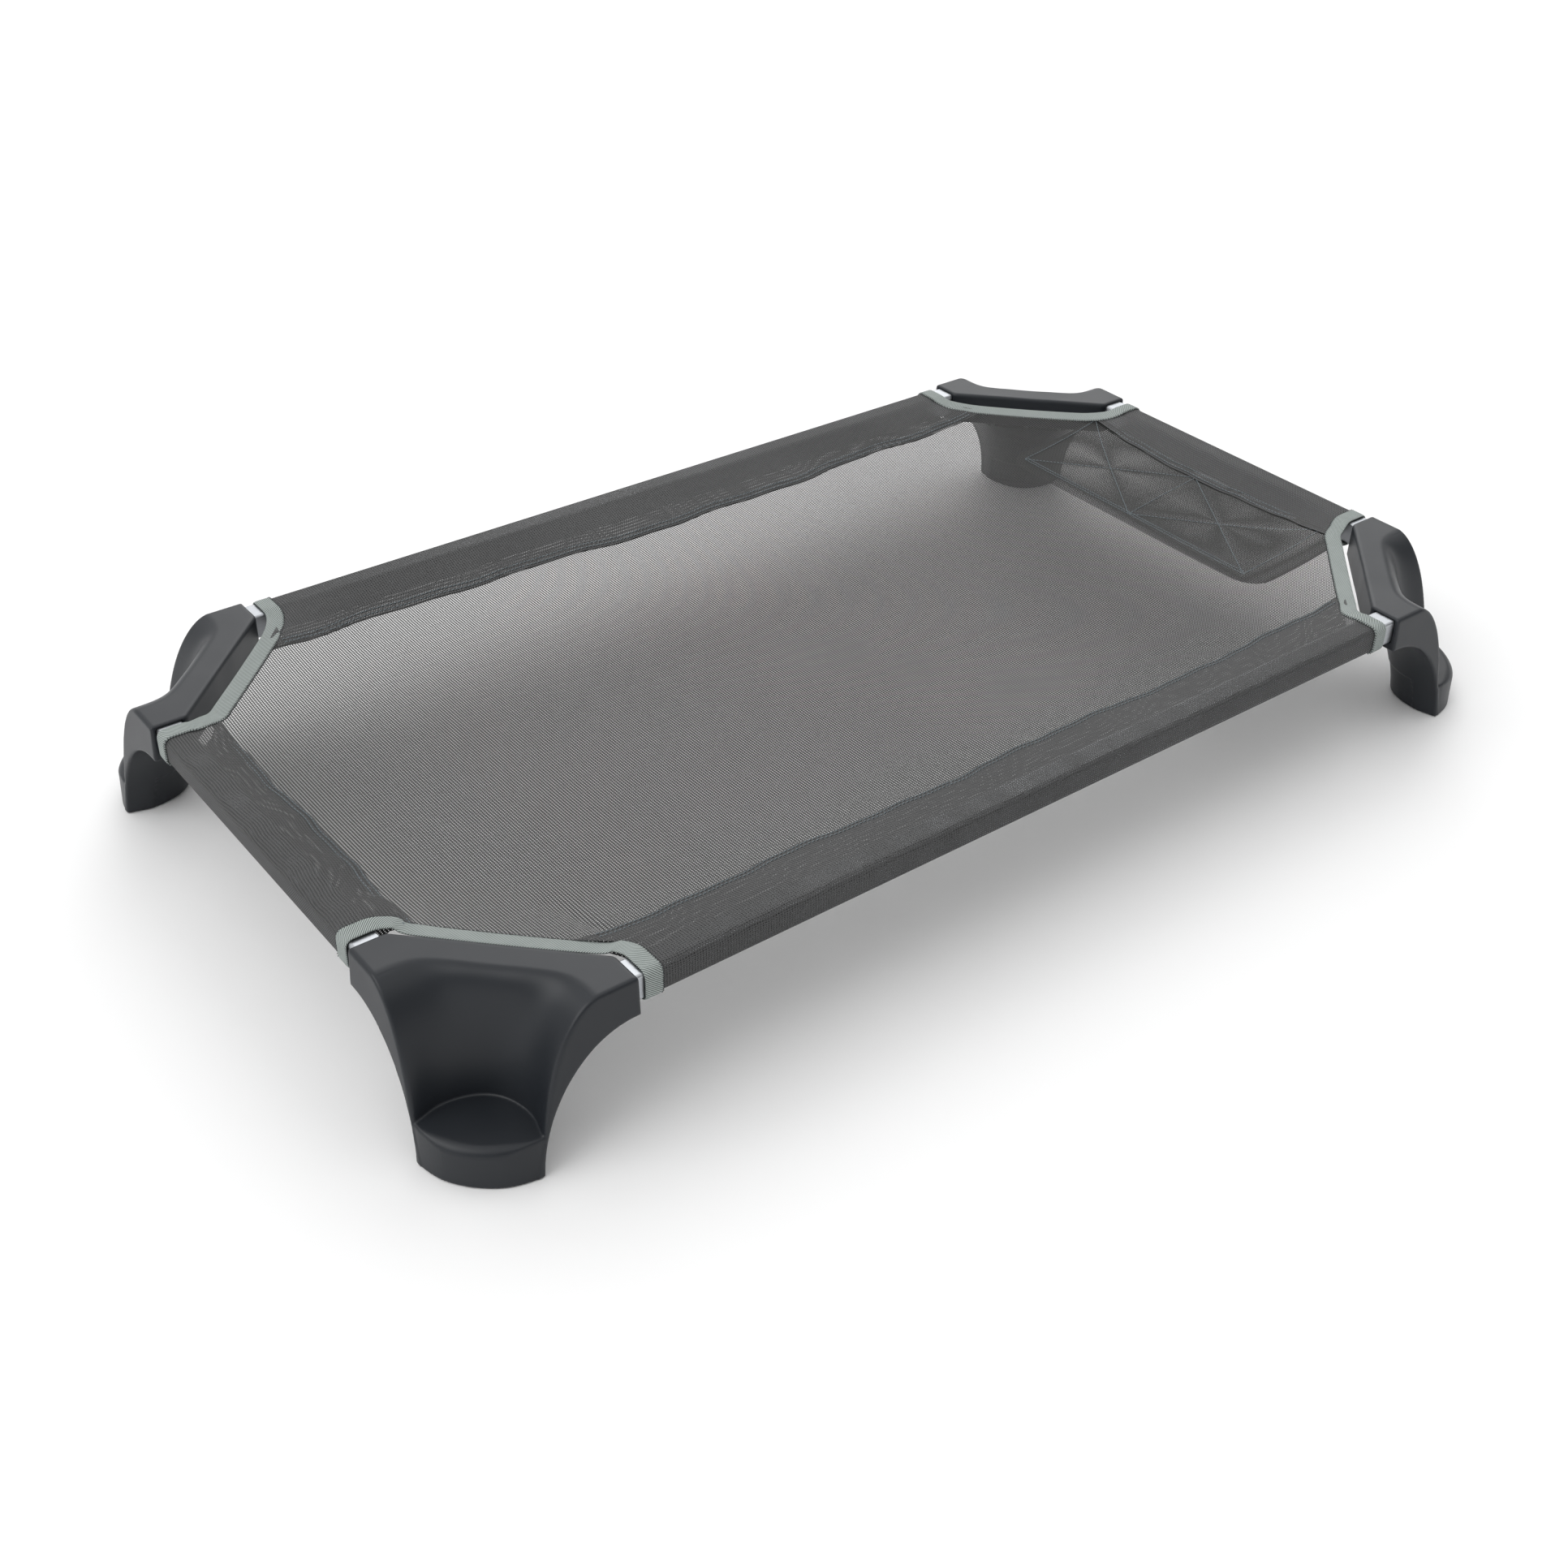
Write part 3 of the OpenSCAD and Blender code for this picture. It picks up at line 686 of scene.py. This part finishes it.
def panel():
    half_x, half_y = HALF_L - SHORT_HEM + PANEL_OVERLAP, HALF_W - LONG_HEM + PANEL_OVERLAP
    y = np.linspace(-half_y, half_y, 177)
    s = np.linspace(-1, 1, 361)
    reach = np.minimum(half_x, HALF_L - (CUT_SUM - (HALF_W - np.abs(y))))
    X = reach[:, None] * s[None, :]
    Y = np.repeat(y[:, None], len(s), 1)
    points = np.stack([X, Y, panel_z(X, Y)], -1).reshape(-1, 3)
    obj = piece("mesh_sheet", points, grid_faces(len(y), len(s)), ["mesh_cloth"], points[:, :2])
    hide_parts("mesh_panel")
    flat = (round(2 * half_y * MM, 3), round(2 * half_x * MM, 3))
    return obj, flat, sum(p.area for p in obj.data.polygons)


panel_obj, panel_flat, panel_area = panel()

flap_lo, flap_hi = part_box("end_flap")


def flap():
    front, back, left = flap_lo.y / MM, flap_hi.y / MM, flap_lo.x / MM
    right = HALF_L - SHORT_HEM + FLAP_OVERLAP
    r = FLAP_R
    turn = np.linspace(0, math.pi / 2, 12)
    between = np.linspace(front + r, back - r, 60)[1:-1]
    y = np.concatenate([front + r - r * np.cos(turn), between, back - r + r * np.sin(turn)])
    dip = np.maximum(np.maximum(front + r - y, y - back + r), 0)
    start = left + r - np.sqrt(np.maximum(r * r - dip * dip, 0))
    end = np.minimum(right, HALF_L - (CUT_SUM - (HALF_W - np.abs(y))))
    s = np.linspace(0, 1, 40)
    X = start[:, None] + (end - start)[:, None] * s
    Y = np.repeat(y[:, None], len(s), 1)
    loose = np.maximum.reduce([428 - X, -168 - Y, Y - 168, np.zeros_like(X)])
    Z = panel_z(X, Y) - FLAP_DROP - 0.012 * loose ** 1.35 - FLAP_PUCKER * box_pucker(X, Y)
    points = np.stack([X, Y, Z], -1).reshape(-1, 3)
    # the weave is set off from the panel's, so that the two don't beat together
    uv = points[:, :2] + FLAP_SHIFT
    obj = piece("flap_sheet", points, grid_faces(len(y), len(s)), ["flap_cloth"], uv)
    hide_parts("end_flap")
    flat = (round((right - left) * MM, 3), round((back - front) * MM, 3))
    return obj, flat, sum(p.area for p in obj.data.polygons)


flap_obj, flap_flat, flap_area = flap()


# ---------------------------------------------------------------- stitching
def stitches(name, lines, node, pitch=4.4, duty=0.8, radius=0.42):
    """Separate stitches along each line, every one arched and dipping in at its ends."""
    rings, sides = 6, 6
    share = np.array([0, 0.12, 0.35, 0.65, 0.88, 1.0])
    lift = np.array([-0.8, 0.1, 0.5, 0.5, 0.1, -0.8])
    thick = np.array([0.5, 0.95, 1, 1, 0.95, 0.5]) * radius
    angle = np.linspace(0, 2 * math.pi, sides, endpoint=False)
    points, faces, uv = [], [], []
    for line in lines:
        line = np.asarray(line, float)
        run = np.concatenate([[0], np.cumsum(np.linalg.norm(np.diff(line, axis=0), axis=1))])
        for start in np.arange(pitch * 0.2, run[-1] - pitch, pitch):
            at = start + share * pitch * duty
            path = np.stack([np.interp(at, run, line[:, k]) for k in range(3)], -1)
            path[:, 2] += lift
            t = path[-1] - path[0]
            t /= np.linalg.norm(t)
            across = np.cross(t, [0, 0, 1])
            across /= np.linalg.norm(across)
            up = np.cross(across, t)
            ring = np.cos(angle)[:, None] * across + np.sin(angle)[:, None] * up
            base = len(points) * rings * sides
            points.append((path[:, None] + thick[:, None, None] * ring[None]).reshape(-1, 3))
            uv.append(np.stack([np.repeat(at, sides), np.tile(angle * radius, rings)], -1))
            faces.append(grid_faces(rings, sides, wrap=True, start=base))
            last = base + (rings - 1) * sides
            faces.append(np.array([[0, 3, 2, 1], [0, 5, 4, 3]]) + base)
            faces.append(np.array([[0, 1, 2, 3], [0, 3, 4, 5]]) + last)
    obj = piece(name, np.concatenate(points), np.concatenate(faces), ["thread"], np.concatenate(uv))
    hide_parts(node)
    return obj


def hem_line(side, inward):
    """A line on the sleeve's top layer, at a distance from its hem towards the tube."""
    half = tube_half(side)
    along = np.linspace(-1, 1, 260) * (half - cloth_end(70) - 12)
    width = hem_width(side, along)
    level = hem_level(side, along, width) + HEM_HALF
    flat = TUBE_V + TUBE / 2 + SLEEVE_OFF - SLEEVE_R
    top = TUBE_Z + TUBE / 2 + SLEEVE_OFF
    z = level + (top - level) * inward / (width - flat)
    return on_side(side, along, width - inward, z + 0.25)


# two rows along each hem, at these distances from it
for side in HEM_WAVES:
    rows = [hem_line(side, inward) for inward in (3, 8)]
    stitches("hem_stitches_" + side, rows, "hem_stitching_" + side)


def on_panel(a, b, lift=0.3):
    """A straight line of stitching from a to b, lying on the panel."""
    t = np.linspace(0, 1, 60)[:, None]
    xy = np.array(a) + (np.array(b) - np.array(a)) * t
    return np.c_[xy, panel_z(xy[:, 0], xy[:, 1]) + lift]


flap_lines = []
for a, b, c, d in STITCH_BOXES:
    flap_lines += [on_panel(a, c), on_panel(b, d), on_panel(a, d)]
far_box, near_box = STITCH_BOXES
flap_lines += [on_panel((431, 162), (430, -169)), on_panel(far_box[0], far_box[1]),
               on_panel(far_box[3], far_box[2]), on_panel(near_box[3], near_box[2])]
flap_rows = stitches("flap_stitches", flap_lines, "flap_stitching", pitch=4.0, radius=0.38)


# ---------------------------------------------------------------- webbing
def smooth_path(points, step):
    """Catmull-Rom curve through the points, sampled evenly."""
    p = np.asarray(points, float)
    p = np.concatenate([[2 * p[0] - p[1]], p, [2 * p[-1] - p[-2]]])
    fine = []
    for k in range(1, len(p) - 2):
        t = np.linspace(0, 1, 24, endpoint=False)[:, None]
        a, b, c, d = p[k - 1:k + 3]
        square, cube = 2 * a - 5 * b + 4 * c - d, 3 * b - a - 3 * c + d
        fine.append(0.5 * (2 * b + (c - a) * t + square * t ** 2 + cube * t ** 3))
    fine = np.concatenate(fine + [p[-2:-1]])
    run = np.concatenate([[0], np.cumsum(np.linalg.norm(np.diff(fine, axis=0), axis=1))])
    at = np.linspace(0, run[-1], int(run[-1] / step) + 1)
    return np.stack([np.interp(at, run, fine[:, k]) for k in range(fine.shape[1])], -1)


def tape_path(long, short, web_sum):
    """u, v, z and the turn of the tape's width from along the tube, 0, to across the strap, 1."""
    off, r = TUBE / 2 + TAPE_OFF, TAPE_R
    c, top, bottom = off - r, TUBE_Z + off, TUBE_Z - off

    def half(web_u):
        def arc(v, z, a, b):
            return [(web_u, v + r * math.cos(x), z + r * math.sin(x), 0) for x in np.linspace(a, b, 5)]

        ring = [(web_u, TUBE_V + 16, bottom + 1.0, 0), (web_u, TUBE_V + 10, bottom, 0)]
        ring += [(web_u, TUBE_V, bottom, 0)]
        ring += arc(TUBE_V - c, TUBE_Z - c, -math.pi / 2, -math.pi)
        ring += [(web_u, TUBE_V - off, TUBE_Z, 0)]
        ring += arc(TUBE_V - c, TUBE_Z + c, math.pi, math.pi / 2)
        ring += [(web_u, TUBE_V + 2, top, 0), (web_u, TUBE_V + 10, top - 0.1, 0.05)]
        ring += [(web_u - 0.6, TUBE_V + 18, top - 1.7, 0.3), (web_u - 5, 46, top - 4.0, 0.7)]
        ring += [(163, web_sum - 163, STRAP_Z + 1.2, 0.95), (148, web_sum - 148, STRAP_Z, 1)]
        return ring

    middle = (web_sum / 2, web_sum / 2, STRAP_Z - 0.6, 1)
    back = [(v, u, z, 2 - w) for u, v, z, w in half(short)[::-1]]
    return smooth_path(half(long) + [middle] + back, 2.2)


def tape(corner_name):
    """The length of webbing round one cut corner."""
    corner = CORNERS[corner_name]
    path = tape_path(*WEB_U[corner_name], WEB_SUM[corner_name])
    p, turn = path[:, :3], path[:, 3]
    tangent = np.gradient(p, axis=0)
    tangent /= np.linalg.norm(tangent, axis=1)[:, None]
    angle = turn * math.pi / 4
    width = np.stack([np.cos(angle), np.sin(angle), -0.16 * np.sin(turn * math.pi / 2) ** 2], -1)
    width -= (width * tangent).sum(1)[:, None] * tangent
    width /= np.linalg.norm(width, axis=1)[:, None]
    normal = np.cross(width, tangent)
    sides = 28
    a = np.linspace(0, 2 * math.pi, sides, endpoint=False)
    w = TAPE_HALF_W * np.sign(np.cos(a)) * np.abs(np.cos(a)) ** 0.45
    n = TAPE_HALF_T * np.sign(np.sin(a)) * np.abs(np.sin(a)) ** 0.7
    run = np.concatenate([[0], np.cumsum(np.linalg.norm(np.diff(p, axis=0), axis=1))])
    points = p[:, None] + w[None, :, None] * width[:, None] + n[None, :, None] * normal[:, None]
    rows = len(p)
    faces = grid_faces(rows, sides, wrap=True).tolist()
    faces.append(list(range(sides))[::-1])
    faces.append([(rows - 1) * sides + k for k in range(sides)])
    uv = np.stack([np.repeat(run, sides), np.tile(w + np.where(n < 0, 40, 0), rows)], -1)
    whip = edge_whip(p, run, width, normal)
    points = np.concatenate([points.reshape(-1, 3), whip[0]])
    start = rows * sides
    faces = faces + (whip[1] + start).tolist()
    uv = np.concatenate([uv, whip[2]])
    if corner[0] * corner[1] > 0:
        faces = [f[::-1] for f in faces]
    kinds = np.zeros(len(faces), np.int32)
    kinds[-len(whip[1]):] = 1
    obj = piece("tape_" + corner_name, from_corner(points, corner), faces,
                ["webbing", "edge_thread"], uv, kinds)
    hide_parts("binding_" + corner_name)


def edge_whip(p, run, width, normal):
    """Short slanting stitches over the tape's edge on the cloth's side."""
    sides = 5
    ring = np.linspace(0, 2 * math.pi, sides, endpoint=False)
    points, faces, uv = [], [], []
    for k, at in enumerate(np.arange(3, run[-1] - 3, WHIP_PITCH)):
        steps = at + np.linspace(0, 1.5, 5)
        q, w, n = (np.stack([np.interp(steps, run, a[:, j]) for j in range(3)], -1)
                   for a in (p, width, normal))
        out = np.array([7.0, 8.2, 8.75, 8.2, 7.0])[:, None]
        over = np.array([1.25, 1.1, 0, -1.1, -1.25])[:, None]
        path = q + (out * w + over * n)
        t = np.gradient(path, axis=0)
        t /= np.linalg.norm(t, axis=1)[:, None]
        side = np.cross(t, w + 0.01)
        side /= np.linalg.norm(side, axis=1)[:, None]
        other = np.cross(t, side)
        thick = WHIP_R * np.array([0.6, 1, 1, 1, 0.6])[:, None, None]
        turn = np.cos(ring)[None, :, None] * side[:, None] + np.sin(ring)[None, :, None] * other[:, None]
        points.append((path[:, None] + thick * turn).reshape(-1, 3))
        faces.append(grid_faces(5, sides, wrap=True, start=k * 5 * sides))
        uv.append(np.stack([np.repeat(np.arange(5) * 0.8, sides), np.tile(ring * 0.3, 5)], -1))
    return np.concatenate(points), np.concatenate(faces), np.concatenate(uv)


for corner_name in CORNERS:
    tape(corner_name)

# ---------------------------------------------------------------- floor, light and camera
floor_mesh = bpy.data.meshes.new("floor")
FLOOR_HALF, FLOOR_Z = 14, -0.0005
floor_corners = [(x * FLOOR_HALF, y * FLOOR_HALF, FLOOR_Z) for x, y in ((-1, -1), (1, -1), (1, 1), (-1, 1))]
floor_mesh.from_pydata(floor_corners, [], [(0, 1, 2, 3)])
floor_mesh.materials.append(floor_paint())
floor = bpy.data.objects.new("floor", floor_mesh)
bpy.context.scene.collection.objects.link(floor)

scene = bpy.context.scene
scene.view_settings.view_transform = "Standard"
world = bpy.data.worlds.new("world")
scene.world = world
world.use_nodes = True
sky = world.node_tree
sky.nodes["Background"].inputs[0].default_value = (1, 1, 1, 1)
height = sky.nodes.new("ShaderNodeSeparateXYZ")
sky.links.new(sky.nodes.new("ShaderNodeTexCoord").outputs["Generated"], height.inputs[0])
# white at the horizon, where it meets the floor, and dimmer above
fade = sky.nodes.new("ShaderNodeMapRange")
for key, value in {"From Min": 0.12, "From Max": 0.26, "To Min": 1.0, "To Max": 0.25}.items():
    fade.inputs[key].default_value = value
sky.links.new(height.outputs[2], fade.inputs["Value"])
sky.links.new(fade.outputs[0], sky.nodes["Background"].inputs[1])


def sun(name, azimuth, elevation, spread, strength):
    """A wide sun. azimuth is the side it shines from: 0 for +X, 90 for +Y."""
    light = bpy.data.lights.new(name, "SUN")
    light.energy = strength
    light.angle = math.radians(spread)
    obj = bpy.data.objects.new(name, light)
    a, e = math.radians(azimuth), math.radians(elevation)
    source = Vector((math.cos(a) * math.cos(e), math.sin(a) * math.cos(e), math.sin(e)))
    obj.rotation_mode = "QUATERNION"
    obj.rotation_quaternion = source.to_track_quat("Z", "Y")
    scene.collection.objects.link(obj)


sun("overhead", 80, 76, 120, 2.1)
sun("back", 50, 37, 40, 0.6)
sun("left", 172, 40, 50, 1.1)

# The photograph's camera, in metres, degrees and millimetres of lens
CAMERA_AT = (-1.05622, -1.27567, 1.10910)
FOCAL, SENSOR = 44.734, 36
AZIMUTH, ELEVATION, ROLL = (math.radians(d) for d in (-38.4617, 35.2752, 1.4422))
outward = math.cos(ELEVATION)
backward = Vector((math.sin(AZIMUTH) * outward, -math.cos(AZIMUTH) * outward, math.sin(ELEVATION)))
level = Vector((math.cos(AZIMUTH), math.sin(AZIMUTH), 0))
upright = backward.cross(level)
rightward = math.cos(ROLL) * level + math.sin(ROLL) * upright
upward = math.cos(ROLL) * upright - math.sin(ROLL) * level
lens = bpy.data.cameras.new("camera")
lens.lens, lens.sensor_width, lens.sensor_fit = FOCAL, SENSOR, "HORIZONTAL"
lens.clip_start, lens.clip_end = 0.05, 60
camera = bpy.data.objects.new("camera", lens)
turn = Matrix((rightward, upward, backward)).transposed().to_4x4()
camera.matrix_world = Matrix.Translation(CAMERA_AT) @ turn
scene.collection.objects.link(camera)
scene.camera = camera
